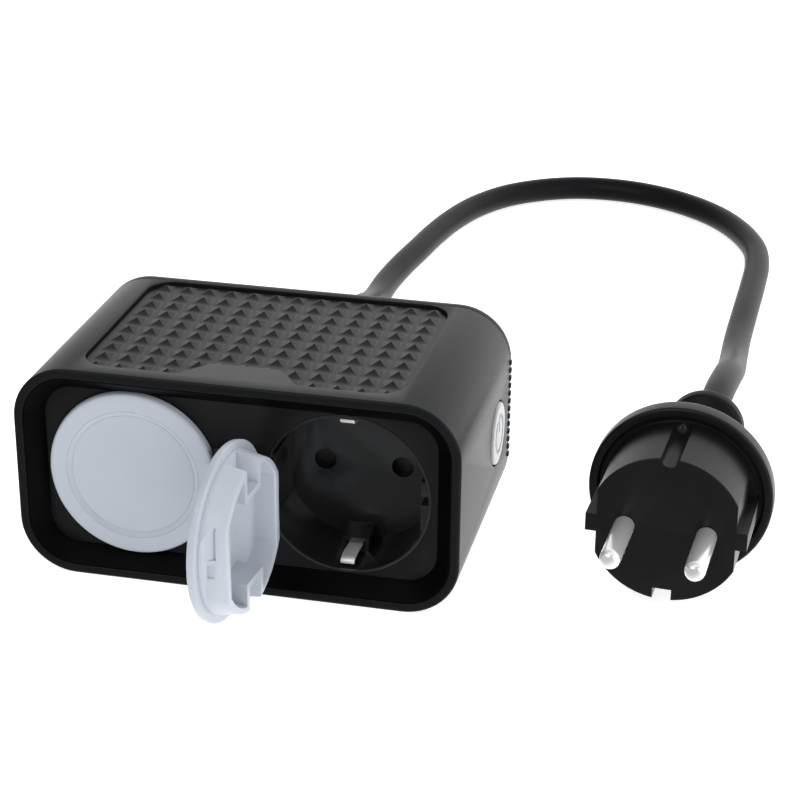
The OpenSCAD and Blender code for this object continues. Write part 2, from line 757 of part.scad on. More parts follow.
// Front part of the plug: nose with flats, key blocks and earth grooves, and its flange
module plug_body() {
    nose_l = 19.5;
    flat = 16.1;
    groove_w = 4.4;
    color([0.11, 0.11, 0.12]) at_plug() difference() {
        union() {
            difference() {
                bar_y(nose_r, 0, nose_l + 0.5);
                for (s = [-1, 1]) block([s > 0 ? flat : -20, -1, -9], [s > 0 ? 20 : -flat, nose_l, 9]);
            }
            for (s = [-1, 1])
                block([s > 0 ? flat - 0.5 : -18.7, 0, -2.6],
                    [s > 0 ? 18.7 : 0.5 - flat, nose_l + 0.2, 1.8]);
            bar_y(flange_r, nose_l, nose_l + 5);
            bar_y(15, nose_l + 4.5, 30.5);
        }
        // Dish in the front of the flange
        difference() {
            bar_y(flange_r - 2.6, nose_l - 0.01, nose_l + 1.2);
            bar_y(nose_r + 0.6, nose_l - 1, nose_l + 2);
        }
        // Earth grooves, above and below
        translate([0, 0, nose_r]) bar_y(groove_w / 2, -1, nose_l - 1.5);
        translate([0, nose_l - 1.5, nose_r]) sphere(groove_w / 2);
        block([-groove_w / 2, -1, -nose_r - 1], [groove_w / 2, nose_l - 3, 3 - nose_r]);
        for (s = [-1, 1]) translate([s * hole_x, 0, 0]) bar_y(shank_r, -1, shank_l);
        for (s = [-1, 1]) earth_strip(s);
    }
}

// Metal strip at the foot of an earth groove
module earth_strip(s) {
    inner = s > 0 ? nose_r - 3.0 : -nose_r + 2.2;
    block([-1.6, 1.5, inner], [1.6, 15, inner + 0.8]);
}

module plug_earth_contacts() {
    color([0.35, 0.35, 0.36]) at_plug() for (s = [-1, 1]) earth_strip(s);
}

// Rear part of the plug: shoulder, neck and the disc where the cord comes out
module plug_grip() {
    start = 30.5;
    color([0.11, 0.11, 0.12]) at_plug() difference() {
        translate([0, start, 0]) rotate([-90, 0, 0]) rotate_extrude()
            polygon([[0, 0], [15, 0], [14.6, 3], [13, 9], [10.6, 16], [8, 22], [7, 25.5],
                [9.2, 27], [9.8, 28], [9.8, 29.5], [9.2, 30.5], [6, 31], [6, 31.5], [0, 31.5]]);
        bar_y(cord_r, start + 31.3 - 6, start + 40);
    }
}

// Pins with rounded tips, each on a thinner shank inside the plug
module plug_pins() {
    color([0.85, 0.86, 0.88]) at_plug() for (s = [-1, 1]) translate([s * hole_x, 0, 0]) {
        bar_y(shank_r, -1, shank_l);
        rotate([90, 0, 0]) rotate_extrude() pin_profile();
    }
}

// Half section of a pin outside the plug
module pin_profile() {
    r = pin_d / 2;
    square([r, pin_len - tip_r]);
    square([r - tip_r, pin_len]);
    intersection() {
        translate([r - tip_r, pin_len - tip_r]) circle(tip_r);
        translate([0, pin_len - tip_r - 0.1]) square([r, tip_r + 0.1]);
    }
}

housing();
grip_panel();
front_panel();
front_seal();
rear_cover();
rear_seal();
rear_screws();
socket_left();
socket_right();
earth_clip_left();
earth_clip_right();
live_contact_left();
neutral_contact_left();
live_contact_right();
neutral_contact_right();
contact_carrier_left();
contact_carrier_right();
shutter_left();
shutter_right();
shutter_spring_left();
shutter_spring_right();
lid_left();
lid_right();
hinge_pin_left();
hinge_pin_right();
power_button();
button_seal();
button_board();
button_switch();
main_board();
relay_left();
relay_right();
power_module();
wireless_module();
smoothing_capacitor();
fuse();
surge_varistor();
terminal_block();
core_wires();
status_led();
cable_gland();
gland_nut();
cord();
plug_body();
plug_grip();
plug_pins();
plug_earth_contacts();
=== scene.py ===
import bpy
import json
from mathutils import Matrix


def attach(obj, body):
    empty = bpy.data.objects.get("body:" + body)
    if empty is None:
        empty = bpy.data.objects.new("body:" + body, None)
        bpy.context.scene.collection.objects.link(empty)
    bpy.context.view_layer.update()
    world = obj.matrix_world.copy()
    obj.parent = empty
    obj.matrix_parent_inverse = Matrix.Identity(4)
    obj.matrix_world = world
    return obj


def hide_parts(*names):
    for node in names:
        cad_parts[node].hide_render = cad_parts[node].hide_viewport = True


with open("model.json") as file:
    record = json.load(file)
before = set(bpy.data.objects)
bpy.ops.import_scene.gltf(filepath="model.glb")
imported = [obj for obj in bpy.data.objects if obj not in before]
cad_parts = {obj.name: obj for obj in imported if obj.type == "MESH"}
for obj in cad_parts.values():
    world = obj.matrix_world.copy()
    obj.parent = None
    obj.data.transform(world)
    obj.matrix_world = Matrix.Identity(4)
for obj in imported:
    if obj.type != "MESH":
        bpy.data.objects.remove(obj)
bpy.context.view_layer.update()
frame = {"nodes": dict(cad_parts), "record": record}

import json
import math

import bmesh
import bpy
from mathutils import Matrix, Vector

MM = 0.001


# Camera -------------------------------------------------------------------------------------

CAMERA_PLACE = Vector((0.1339, -0.4502, 0.2457))
CAMERA_TURN = math.radians(12.75)
CAMERA_DROP = math.radians(24.08)
CAMERA_ROLL = math.radians(0.55)
CAMERA_LENS = 95.07


def make_camera():
    data = bpy.data.cameras.new("camera")
    data.lens = CAMERA_LENS
    data.sensor_width = 36
    data.clip_start = 0.01
    data.clip_end = 20
    camera = bpy.data.objects.new("camera", data)
    bpy.context.collection.objects.link(camera)
    turn = Matrix.Rotation(CAMERA_TURN, 4, "Z")
    tilt = Matrix.Rotation(math.pi / 2 - CAMERA_DROP, 4, "X")
    roll = Matrix.Rotation(CAMERA_ROLL, 4, "Z")
    camera.matrix_world = Matrix.Translation(CAMERA_PLACE) @ turn @ tilt @ roll
    bpy.context.scene.camera = camera


make_camera()


# The cord's route, and how a mesh is finished -----------------------------------------------

CORD_R = 4 * MM
PLUG_Z = 22
MID_Z = 26.5
GROUND = 4.2
ROUTE = [
    (0, 34, MID_Z), (0, 50, MID_Z), (0, 66, MID_Z), (-1, 82, 25), (-3, 99, 21),
    (-5.5, 116, 15.5), (-8, 133, 9.5), (-9.6, 149, 5.4), (-10.2, 166, GROUND), (-9, 182, GROUND),
    (-7, 198, GROUND), (-5, 214, GROUND), (-2, 230, GROUND), (3, 246, GROUND), (11, 260, GROUND),
    (22, 270, GROUND), (35, 276, GROUND), (49, 277, GROUND), (62, 274, GROUND), (75, 267, GROUND),
    (87, 256, GROUND), (96, 242, GROUND), (102, 226, GROUND), (104, 210, GROUND), (104, 192, GROUND),
    (103.5, 170, GROUND), (103, 146, GROUND), (103.4, 124, 6.5), (104.2, 102, 12.5), (104.4, 82, 19),
    (103.6, 64, PLUG_Z), (102.6, 47.4, PLUG_Z), (102.1, 38, PLUG_Z),
]


def smooth(points, steps):
    """Catmull-Rom curve through the points."""
    path = []
    last = len(points) - 1
    for i in range(last):
        p0, p1, p2, p3 = points[max(i - 1, 0)], points[i], points[i + 1], points[min(i + 2, last)]
        for s in range(steps):
            t = s / steps
            path.append(0.5 * (2 * p1 + (p2 - p0) * t + (2 * p0 - 5 * p1 + 4 * p2 - p3) * t * t
                               + (3 * p1 - p0 - 3 * p2 + p3) * t ** 3))
    path.append(points[last])
    return path


def tube(name, path, radius, sides):
    """A closed tube swept along a path, with a frame that doesn't twist."""
    bm = bmesh.new()
    rings = []
    side = Vector((1, 0, 0))
    for i, centre in enumerate(path):
        along = (path[min(i + 1, len(path) - 1)] - path[max(i - 1, 0)]).normalized()
        side = (side - along * side.dot(along)).normalized()
        up = along.cross(side)
        ring = []
        for k in range(sides):
            a = 2 * math.pi * k / sides
            ring.append(bm.verts.new(centre + radius * (math.cos(a) * side + math.sin(a) * up)))
        rings.append(ring)
    for a, b in zip(rings, rings[1:]):
        for k in range(sides):
            n = (k + 1) % sides
            bm.faces.new((a[k], a[n], b[n], b[k]))
    bm.faces.new(reversed(rings[0]))
    bm.faces.new(rings[-1])
    return finish_mesh(name, bm)


def finish_mesh(name, bm, angle=32):
    """Turns a bmesh into an object with smooth faces and sharp edges kept."""
    bmesh.ops.recalc_face_normals(bm, faces=bm.faces)
    mesh = bpy.data.meshes.new(name)
    bm.to_mesh(mesh)
    bm.free()
    obj = bpy.data.objects.new(name, mesh)
    bpy.context.collection.objects.link(obj)
    shade(obj, angle)
    return obj


def shade(obj, angle=32):
    obj.data.shade_smooth()
    obj.data.set_sharp_from_angle(angle=math.radians(angle))


# Materials ----------------------------------------------------------------------------------

COOL_SHEEN = (0.93, 0.965, 1, 1)
DRIFT_SCALE = 35
GLOSS_DRIFT = 0.06


def moulded(name, colour, rough, grain=0.05, scale=900, bump=0.04, metallic=0.0, coat=0.0, specular=0.5,
            stretch=None):
    """Procedural plastic, rubber or metal: fine grain in bump, and drift in colour and gloss."""
    material = bpy.data.materials.new(name)
    material.use_nodes = True
    nodes, links = material.node_tree.nodes, material.node_tree.links
    shader = nodes["Principled BSDF"]
    shader.inputs["Metallic"].default_value = metallic
    shader.inputs["Coat Weight"].default_value = coat
    shader.inputs["Specular IOR Level"].default_value = specular
    if not metallic:
        shader.inputs["Specular Tint"].default_value = COOL_SHEEN
    place = nodes.new("ShaderNodeTexCoord")
    fine = nodes.new("ShaderNodeTexNoise")
    fine.inputs["Scale"].default_value = scale
    fine.inputs["Detail"].default_value = 6
    broad = nodes.new("ShaderNodeTexNoise")
    broad.inputs["Scale"].default_value = DRIFT_SCALE
    broad.inputs["Detail"].default_value = 4
    spot = place.outputs["Object"]
    if stretch:
        lengthen = nodes.new("ShaderNodeMapping")
        lengthen.inputs["Scale"].default_value = stretch
        links.new(spot, lengthen.inputs["Vector"])
        spot = lengthen.outputs["Vector"]
    for noise in (fine, broad):
        links.new(spot, noise.inputs["Vector"])
    tint = nodes.new("ShaderNodeValToRGB")
    tint.color_ramp.elements[0].position = 0.3
    tint.color_ramp.elements[1].position = 0.7
    tint.color_ramp.elements[0].color = (*[c * (1 - grain) for c in colour], 1)
    tint.color_ramp.elements[1].color = (*[min(c * (1 + grain), 1) for c in colour], 1)
    links.new(broad.outputs["Fac"], tint.inputs["Fac"])
    links.new(tint.outputs["Color"], shader.inputs["Base Color"])
    gloss = nodes.new("ShaderNodeMapRange")
    gloss.inputs["To Min"].default_value = max(rough - GLOSS_DRIFT, 0.03)
    gloss.inputs["To Max"].default_value = min(rough + GLOSS_DRIFT, 1)
    links.new(fine.outputs["Fac"], gloss.inputs["Value"])
    links.new(gloss.outputs["Result"], shader.inputs["Roughness"])
    if bump:
        relief = nodes.new("ShaderNodeBump")
        relief.inputs["Strength"].default_value = 0.35
        relief.inputs["Distance"].default_value = bump * MM
        links.new(fine.outputs["Fac"], relief.inputs["Height"])
        links.new(relief.outputs["Normal"], shader.inputs["Normal"])
    return material


DARK_GREY = (0.0070, 0.0073, 0.0080)
FINISHES = {
    "housing_grey": dict(colour=DARK_GREY, rough=0.35, scale=1400, bump=0.03, specular=0.115),
    "grip_grey": dict(colour=DARK_GREY, rough=0.36, scale=1400, bump=0.03, specular=0.16),
    "black_plastic": dict(colour=(0.0075, 0.0075, 0.0080), rough=0.33, scale=1400, bump=0.02, specular=0.17),
    "well_black": dict(colour=(0.009, 0.009, 0.0092), rough=0.20, scale=1400, bump=0.01, specular=0.55),
    # Painted shade: a near-black copy of the black plastic, with its reflection turned down, so the sloped
    # band looks shaded
    "band_painted_shade": dict(colour=(0.0010, 0.0010, 0.0010), rough=0.42, scale=1400, bump=0.02, specular=0.04),
    "black_rubber": dict(colour=(0.0065, 0.0067, 0.0074), rough=0.42, scale=1100, bump=0.05, specular=0.10),
    "lid_grey": dict(colour=(0.44, 0.475, 0.53), rough=0.38, grain=0.02, scale=1600, bump=0.02),
    "button_white": dict(colour=(0.45, 0.46, 0.48), rough=0.3, grain=0.02, scale=1600, bump=0.01),
    "button_mark": dict(colour=(0.22, 0.23, 0.245), rough=0.35, grain=0.02, scale=1600, bump=0.01),
    "clip_steel": dict(colour=(0.94, 0.93, 0.91), rough=0.40, grain=0.02, metallic=0.7, scale=500, bump=0.01),
    "pin_chrome": dict(colour=(0.93, 0.94, 0.97), rough=0.24, grain=0.30, metallic=0.62, bump=0.01,
                       stretch=(1, 0.02, 1)),
    "contact_brass": dict(colour=(0.78, 0.58, 0.26), rough=0.3, metallic=1),
    "screw_steel": dict(colour=(0.42, 0.42, 0.44), rough=0.34, metallic=1),
    "carrier_cream": dict(colour=(0.60, 0.58, 0.52), rough=0.5),
    "shutter_grey": dict(colour=(0.012, 0.012, 0.013), rough=0.42),
    "board_green": dict(colour=(0.015, 0.14, 0.06), rough=0.35, coat=0.4),
    "relay_blue": dict(colour=(0.04, 0.12, 0.34), rough=0.32),
    "module_black": dict(colour=(0.018, 0.018, 0.02), rough=0.35),
    "shield_metal": dict(colour=(0.68, 0.68, 0.70), rough=0.3, metallic=1),
    "capacitor_sleeve": dict(colour=(0.025, 0.025, 0.05), rough=0.3),
    "ceramic_white": dict(colour=(0.76, 0.74, 0.66), rough=0.28),
    "varistor_blue": dict(colour=(0.03, 0.15, 0.38), rough=0.25),
    "terminal_green": dict(colour=(0.04, 0.20, 0.08), rough=0.45),
    "wire_insulation": dict(colour=(0.20, 0.13, 0.07), rough=0.45),
    "led_lens": dict(colour=(0.82, 0.88, 0.94), rough=0.1),
}
MATERIALS = {name: moulded(name, **finish) for name, finish in FINISHES.items()}


def dress(obj, slot):
    obj.data.materials.clear()
    obj.data.materials.append(MATERIALS[slot])


for entry in frame["record"]["subparts"]:
    node = frame["nodes"].get(entry["node"])
    if node:
        dress(node, entry["material_slot"])


# Mesh helpers -------------------------------------------------------------------------------

def arc(cx, cz, r, a0, a1, steps):
    """Points along an arc, angles in degrees."""
    angles = [math.radians(a0 + (a1 - a0) * k / steps) for k in range(steps + 1)]
    return [(cx + r * math.cos(a), cz + r * math.sin(a)) for a in angles]


def rounded_outline(w, h, r, steps=12):
    """Rounded rectangle round the origin, as (x, z) points."""
    points = []
    for cx, cz, a in ((w / 2 - r, h / 2 - r, 0), (r - w / 2, h / 2 - r, 90),
                      (r - w / 2, r - h / 2, 180), (w / 2 - r, r - h / 2, 270)):
        points += arc(cx, cz, r, a, a + 90, steps)
    return points


def skin(bm, rings, closed_loop=False):
    """Joins rings of vertices that have the same count."""
    pairs = list(zip(rings, rings[1:]))
    if closed_loop:
        pairs.append((rings[-1], rings[0]))
    for a, b in pairs:
        count = len(a)
        for k in range(count):
            n = (k + 1) % count
            bm.faces.new((a[k], a[n], b[n], b[k]))


def loft(sections, closed_loop=False, origin=(0, 0, 0)):
    """A bmesh lofted through sections: (outline of (x, z) points, y), all in millimetres."""
    bm = bmesh.new()
    ox, oy, oz = origin
    rings = [[bm.verts.new(((x + ox) * MM, (y + oy) * MM, (z + oz) * MM)) for x, z in outline]
             for outline, y in sections]
    skin(bm, rings, closed_loop)
    if not closed_loop:
        bm.faces.new(rings[0])
        bm.faces.new(rings[-1])
    return bm


def lathe(profile, sides=96, axis="Y", place=(0, 0, 0)):
    """A bmesh turned from a profile of (radius, distance along the axis)."""
    bm = bmesh.new()
    rings = []
    for radius, along in profile:
        if radius < 1e-6:
            rings.append([bm.verts.new(turned(0, 0, along, axis, place))])
            continue
        rings.append([bm.verts.new(turned(radius * math.cos(2 * math.pi * k / sides),
                                          radius * math.sin(2 * math.pi * k / sides), along, axis, place))
                      for k in range(sides)])
    for a, b in zip(rings, rings[1:]):
        for k in range(sides):
            n = (k + 1) % sides
            if len(a) == 1 and len(b) > 1:
                bm.faces.new((a[0], b[n], b[k]))
            elif len(b) == 1 and len(a) > 1:
                bm.faces.new((a[k], a[n], b[0]))
            elif len(a) > 1:
                bm.faces.new((a[k], a[n], b[n], b[k]))
    for end in (rings[0], rings[-1]):
        if len(end) > 1:
            bm.faces.new(end)
    return bm


def turned(u, v, along, axis, place):
    spot = {"Y": (u, along, v), "X": (along, u, v), "Z": (u, v, along)}[axis]
    return Vector([(a + b) * MM for a, b in zip(spot, place)])


def prism(outline, low, high, axis="Y", place=(0, 0, 0)):
    """A bmesh of an outline pushed along an axis."""
    bm = bmesh.new()
    rings = [[bm.verts.new(turned(u, v, along, axis, place)) for u, v in outline] for along in (low, high)]
    skin(bm, rings)
    bm.faces.new(rings[0])
    bm.faces.new(rings[1])
    return bm


def brick(low, high):
    """A bmesh block from its low and high corners."""
    (x0, y0, z0), (x1, y1, z1) = low, high
    return prism([(x0, z0), (x1, z0), (x1, z1), (x0, z1)], y0, y1)


def combine(base, others, operation):
    """Exact boolean of a bmesh with each of the others; all of them are used up."""
    base_obj = finish_mesh("boolean_base", base)
    for other in others:
        tool = finish_mesh("boolean_tool", other)
        change = base_obj.modifiers.new("boolean", "BOOLEAN")
        change.operation = operation
        change.solver = "EXACT"
        change.object = tool
        bake(base_obj)
        drop(tool)
    bm = bmesh.new()
    bm.from_mesh(base_obj.data)
    drop(base_obj)
    return bm


def cut(base, *others):
    return combine(base, others, "DIFFERENCE")


def join(base, *others):
    return combine(base, others, "UNION")


def gather(parts):
    """One bmesh that holds all the parts, which are used up."""
    whole = bmesh.new()
    for part in parts:
        mesh = bpy.data.meshes.new("part")
        part.to_mesh(mesh)
        whole.from_mesh(mesh)
        part.free()
        bpy.data.meshes.remove(mesh)
    return whole


def bake(obj):
    """Applies the modifiers of an object to its mesh."""
    graph = bpy.context.evaluated_depsgraph_get()
    graph.update()
    baked = bpy.data.meshes.new_from_object(obj.evaluated_get(graph))
    old = obj.data
    obj.modifiers.clear()
    obj.data = baked
    bpy.data.meshes.remove(old)


def drop(obj):
    mesh = obj.data
    bpy.data.objects.remove(obj)
    if mesh.users == 0:
        bpy.data.meshes.remove(mesh)


def clean(bm):
    """Merges doubled vertices and dissolves flat edges, which a boolean leaves."""
    bmesh.ops.remove_doubles(bm, verts=bm.verts, dist=0.004 * MM)
    bmesh.ops.dissolve_limit(bm, angle_limit=math.radians(0.6), verts=bm.verts, edges=bm.edges)
    return bm


def rounded(name, bm, width=0.3, segments=3, angle=35, sharp=32):
    """Finishes a bmesh with its sharp edges rounded."""
    obj = finish_mesh(name, clean(bm))
    change = obj.modifiers.new("rounding", "BEVEL")
    change.width = width * MM
    change.segments = segments
    change.limit_method = "ANGLE"
    change.angle_limit = math.radians(angle)
    change.use_clamp_overlap = True
    change.harden_normals = False
    bake(obj)
    shade(obj, sharp)
    return obj


def add_piece(obj, body, node, slot):
    """Ties a piece to its body, the CAD node that it stands for, if any, and its finish."""
    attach(obj, body)
    if node:
        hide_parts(node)
    dress(obj, slot)
    return obj


def soften(node, body, slot, width, segments=3, angle=35):
    """A rounded-edge version of a CAD node."""
    bm = bmesh.new()
    bm.from_mesh(frame["nodes"][node].data)
    return add_piece(rounded(node + "_shape", bm, width, segments, angle), body, node, slot)


def moved(bm, matrix):
    bm.transform(matrix)
    if matrix.determinant() < 0:
        bmesh.ops.reverse_faces(bm, faces=bm.faces)
    return bm


def shift(x, y, z):
    return Matrix.Translation(Vector((x, y, z)) * MM)


def turn_z(degrees):
    return Matrix.Rotation(math.radians(degrees), 4, "Z")


# Sizes of the box, as in the CAD part, in millimetres ---------------------------------------

BODY_W, BODY_H, CORNER_R, WALL = 107, 53, 13.5, 2.2
FRONT_Y, COVER_Y, BACK_Y, PANEL_Y = -32, 29, 32, -27.3
BAND_W = 4
SOCKET_X = 25.6
PANEL_W, PANEL_BACK, PANEL_R, SEAT_Z, PANEL_Z = 77.6, 28.5, 7, 50.7, 52.1
TAB_FRONT, TAB_BACK, TAB_Y = 14.4, 10, -19.7
CELL_X, CELL_Y, STUD_H = 5.8, 5.65, 0.65
COLUMNS_A_SIDE, ROWS, ROW_INSET = 6, 10, 3.2
BUTTON_Y, BUTTON_X, BUTTON_R, WALL_X = 14.5, 53.9, 8, 51.3
MARK_R, MARK_HALF = 4.5, 0.45
LID_R, LID_FRONT, LID_BACK, LID_DISH = 20.8, -29.6, -27.4, 0.6
HINGE_ARM, HINGE_Y, LID_OPEN = 21.1, -29.8, 95
COLLAR_R, CUP_R, CUP_FLAT, CUP_L, CUP_WALL = 18.9, 17.8, 15.3, 5.8, 1.7
SLOT_X, SLOT_Z, SLOT_WALL = 3.4, 11.5, 1.5
KNUCKLE_R, KNUCKLE_L, HINGE_PIN_R, HINGE_GAP = 1.2, 11, 0.65, 0.07
SCREW_X, SCREW_Z = 45.85, 18.85
RIB_COUNT, RIB_PITCH, RIB_HALF, RIB_OUT = 13, 2.1, 0.52, 0.35
GLAND_R, BOOT_L, FLANGE_OUT = 7, 30, 9.5
BOOT_TIP_R, BOOT_RING_PITCH, BOOT_BORE_R = 5.2, 2.9, 3.95
CLIP_HALF, CLIP_T = 1.7, 0.7


def inset_outline(inset):
    """The box's outline, drawn in by inset."""
    return rounded_outline(BODY_W - 2 * inset, BODY_H - 2 * inset, max(CORNER_R - inset, 0.6), 14)


def fillet(before, corner, after, r, steps=5):
    """Points that round a corner of a profile."""
    a, c, b = Vector(before), Vector(corner), Vector(after)
    start, end = c + (a - c).normalized() * r, c + (b - c).normalized() * r
    return [tuple((1 - t) ** 2 * start + 2 * t * (1 - t) * c + t * t * end)
            for t in [k / steps for k in range(steps + 1)]]


def round_profile(points, radii, closed=False):
    """Rounds the corners of a profile; a radius of 0 keeps the corner."""
    result = []
    count = len(points)
    for i, (point, r) in enumerate(zip(points, radii)):
        if r == 0 or (not closed and i in (0, count - 1)):
            result.append(point)
        else:
            result += fillet(points[i - 1], point, points[(i + 1) % count], r)
    return result


# Housing ------------------------------------------------------------------------------------

def tab_outline(grow):
    """The tab that runs into the panel from the front, as (x, y) points."""
    w0, w1, r, y1, front = TAB_FRONT + grow, TAB_BACK + grow, 3, TAB_Y + grow, PANEL_Y - 6
    right = [(w0, front), (w0, PANEL_Y - 0.6), (w1 + 0.9, y1 - r)] + arc(w1 - r + 0.1, y1 - r, r, 20, 90, 6)
    return right + [(-x, y) for x, y in reversed(right)]


def seat_prism(gap, low, high):
    """The panel's shape in plan, smaller all round by gap."""
    outline = rounded_outline(PANEL_W - 2 * gap, PANEL_BACK - PANEL_Y - 2 * gap, PANEL_R - gap, 8)
    middle = (PANEL_Y + PANEL_BACK) / 2
    bm = prism([(x, y + middle) for x, y in outline], low, high, "Z")
    return cut(bm, prism(tab_outline(gap), low - 1, high + 1, "Z"))


def make_housing():
    """The outer shell, and the sloped band between its rim and the faceplate."""
    profile = round_profile([(0, COVER_Y), (0, FRONT_Y), (WALL, FRONT_Y), (WALL, COVER_Y)],
                            [0.25, 0.7, 0.3, 0], closed=True)
    bm = loft([(inset_outline(inset), y) for inset, y in profile], closed_loop=True, origin=(0, 0, MID_Z))
    hole_r = BUTTON_R + 0.3
    hole = lathe([(hole_r, 40), (hole_r, 53.2), (hole_r + 0.35, 54)], 72, "X", (0, BUTTON_Y, MID_Z))
    bm = cut(bm, seat_prism(0, SEAT_Z, BODY_H + 2), hole)
    add_piece(rounded("housing_shell", bm, 0.22, 3, 38), "box", "housing", "housing_grey")
    rim_y = FRONT_Y + 0.22
    band = round_profile([(WALL, rim_y), (WALL + 0.35, rim_y), (WALL + BAND_W, PANEL_Y),
                          (WALL, PANEL_Y + 0.02)], [0, 0.15, 0.12, 0], closed=True)
    ring = loft([(inset_outline(inset), y) for inset, y in band], closed_loop=True, origin=(0, 0, MID_Z))
    # The sloped band is the black plastic, dressed in a darker copy that paints its shade into the colour
    dress(add_piece(finish_mesh("sloped_band", ring, 35), "box", None, "black_plastic"), "band_painted_shade")


def make_grip_panel():
    """A plate with rows of low pyramids whose feet run out into the plate."""
    steps = [k / 7 for k in range(8)]
    rings = [(2.4 - 2.37 * t, -2.6 + 3.1 * t, 2.45 - 1.9 * t, (STUD_H + 0.15) * t ** 1.5) for t in steps]
    bm = bmesh.new()
    corners = {}

    def corner(x, y, z):
        key = (round(x, 3), round(y, 3), round(z, 3))
        if key not in corners:
            corners[key] = bm.verts.new((x * MM, y * MM, z * MM))
        return corners[key]

    def square(cx, cy, half, front, back, z):
        return [corner(cx - half, cy + front, z), corner(cx + half, cy + front, z),
                corner(cx + half, cy + back, z), corner(cx - half, cy + back, z)]

    first_y = PANEL_BACK - ROW_INSET
    for i in range(-COLUMNS_A_SIDE - 1, COLUMNS_A_SIDE + 2):
        for j in range(-1, ROWS + 1):
            cx, cy = i * CELL_X, first_y - j * CELL_Y
            outer = square(cx, cy, CELL_X / 2, -CELL_Y / 2, CELL_Y / 2, PANEL_Z)
            if abs(i) > COLUMNS_A_SIDE or not 0 <= j < ROWS:
                bm.faces.new(outer)
                continue
            loops = [outer]
            for half, front, back, z in rings:
                loops.append(square(cx, cy, half, front, back, PANEL_Z + z))
            skin(bm, loops)
            bm.faces.new(loops[-1])
    y_low, y_high = first_y - (ROWS + 0.5) * CELL_Y, first_y + 1.5 * CELL_Y
    edge = [v for v in bm.verts if v.is_boundary]
    below = {v: bm.verts.new((v.co.x, v.co.y, (SEAT_Z - 3) * MM)) for v in edge}
    for e in [e for e in bm.edges if e.is_boundary]:
        a, b = e.verts
        bm.faces.new((a, b, below[b], below[a]))
    ordered = sorted(below.values(), key=lambda v: math.atan2(v.co.y - (y_low + y_high) / 2 * MM, v.co.x))
    bm.faces.new(ordered)
    bm = combine(bm, [seat_prism(0.3, SEAT_Z, BODY_H + 3)], "INTERSECT")
    obj = finish_mesh("grip_plate", bm, 14)
    add_piece(obj, "box", "grip_panel", "grip_grey")


# Lids ---------------------------------------------------------------------------------------

def flat_outline(r, flat, steps=14):
    """Circle with a flat on each side."""
    half = math.degrees(math.acos(flat / r))
    return arc(0, 0, r, half, 180 - half, steps) + arc(0, 0, r, 180 + half, 360 - half, steps)


def lid_mesh():
    """A lid, closed, over an outlet at the origin with its hinge on the left."""
    front = LID_FRONT
    disc = round_profile([(0, front + LID_DISH), (15.0, front + LID_DISH), (15.06, front + 0.72),
                          (15.2, front + 0.58), (16.2, front + 0.06), (16.3, front + 0.2),
                          (16.42, front + 0.02), (LID_R - 0.25, front + 0.16), (LID_R, LID_BACK),
                          (COLLAR_R, LID_BACK), (COLLAR_R, LID_BACK + 0.5), (0, LID_BACK + 0.5)],
                         [0, 0, 0, 0.08, 0.08, 0, 0.1, 0.95, 0.25, 0, 0, 0])
    bm = lathe(disc, 128)
    top = LID_BACK + CUP_L
    sides = [(COLLAR_R, COLLAR_R - 0.05, LID_BACK - 0.2), (18.75, 17.9, LID_BACK + 0.4),
             (18.55, 16.8, LID_BACK + 1.3), (18.25, 16.3, LID_BACK + 2.8), (CUP_R, 15.75, top - 0.35),
             (CUP_R - 0.12, 15.6, top - 0.12), (CUP_R - 0.4, CUP_FLAT, top)]
    bm = join(bm, loft([(flat_outline(r, flat), y) for r, flat, y in sides]))
    floor = LID_BACK - 0.4
    cavity = [(1.0, floor), (0.3, floor + 0.3), (0, floor + 1.0), (0, top - 0.5), (-0.35, top + 0.2),
              (-0.35, top + 1)]
    room = loft([(flat_outline(CUP_R - CUP_WALL - i, CUP_FLAT - CUP_WALL - i), y) for i, y in cavity])
    walls = [slot_box(s, SLOT_WALL) for s in (-1, 1)]
    bm = cut(bm, cut(room, *walls))
    bm = cut(bm, *[slot_box(s, 0) for s in (-1, 1)])
    latch = [(17.2, LID_BACK + 0.9), (15.3, LID_BACK + 3.3), (20, LID_BACK + 3.3), (20, LID_BACK + 0.9)]
    bm = cut(bm, prism(latch, 1.4, 9, "Z"),
             brick((16.2, LID_BACK + 1.4, -3.0), (20, LID_BACK + 3.0, 0.2)),
             brick((-20, LID_BACK + 0.9, -4), (-15.2, LID_BACK + 30, 4)))
    axis_place, half = (-HINGE_ARM, HINGE_Y, 0), KNUCKLE_L / 2
    knuckle = lathe([(KNUCKLE_R, -half), (KNUCKLE_R, half)], 32, "Z", axis_place)
    web = brick((-HINGE_ARM, HINGE_Y + 0.2, -half), (3 - HINGE_ARM, HINGE_Y + KNUCKLE_R, half))
    bm = join(bm, join(knuckle, web))
    bore_r = HINGE_PIN_R + HINGE_GAP
    return cut(bm, lathe([(bore_r, -10), (bore_r, 10)], 24, "Z", axis_place))


def slot_box(s, grow):
    """The room for an earth clip in the cup's top (s = 1) or bottom (s = -1) edge."""
    inner = SLOT_Z - grow
    z0, z1 = (inner, 20) if s > 0 else (-20, -inner)
    return brick((-SLOT_X - grow, LID_BACK + 0.6 - 1.2 * grow, z0), (SLOT_X + grow, LID_BACK + 20, z1))


def make_lids():
    hinge = shift(-HINGE_ARM, HINGE_Y, 0)
    opened = shift(SOCKET_X, 0, MID_Z) @ hinge @ turn_z(-LID_OPEN) @ hinge.inverted()
    mirrored = shift(-SOCKET_X, 0, MID_Z) @ Matrix.Scale(-1, 4, (1, 0, 0))
    shape = rounded("lid_pattern", lid_mesh(), 0.28, 3, 34)
    for name, matrix, body in (("lid_right", opened, "right_lid"), ("lid_left", mirrored, "left_lid")):
        bm = bmesh.new()
        bm.from_mesh(shape.data)
        obj = finish_mesh(name + "_cap", moved(bm, matrix), 34)
        add_piece(obj, body, name, "lid_grey")
    drop(shape)


# Button -------------------------------------------------------------------------------------

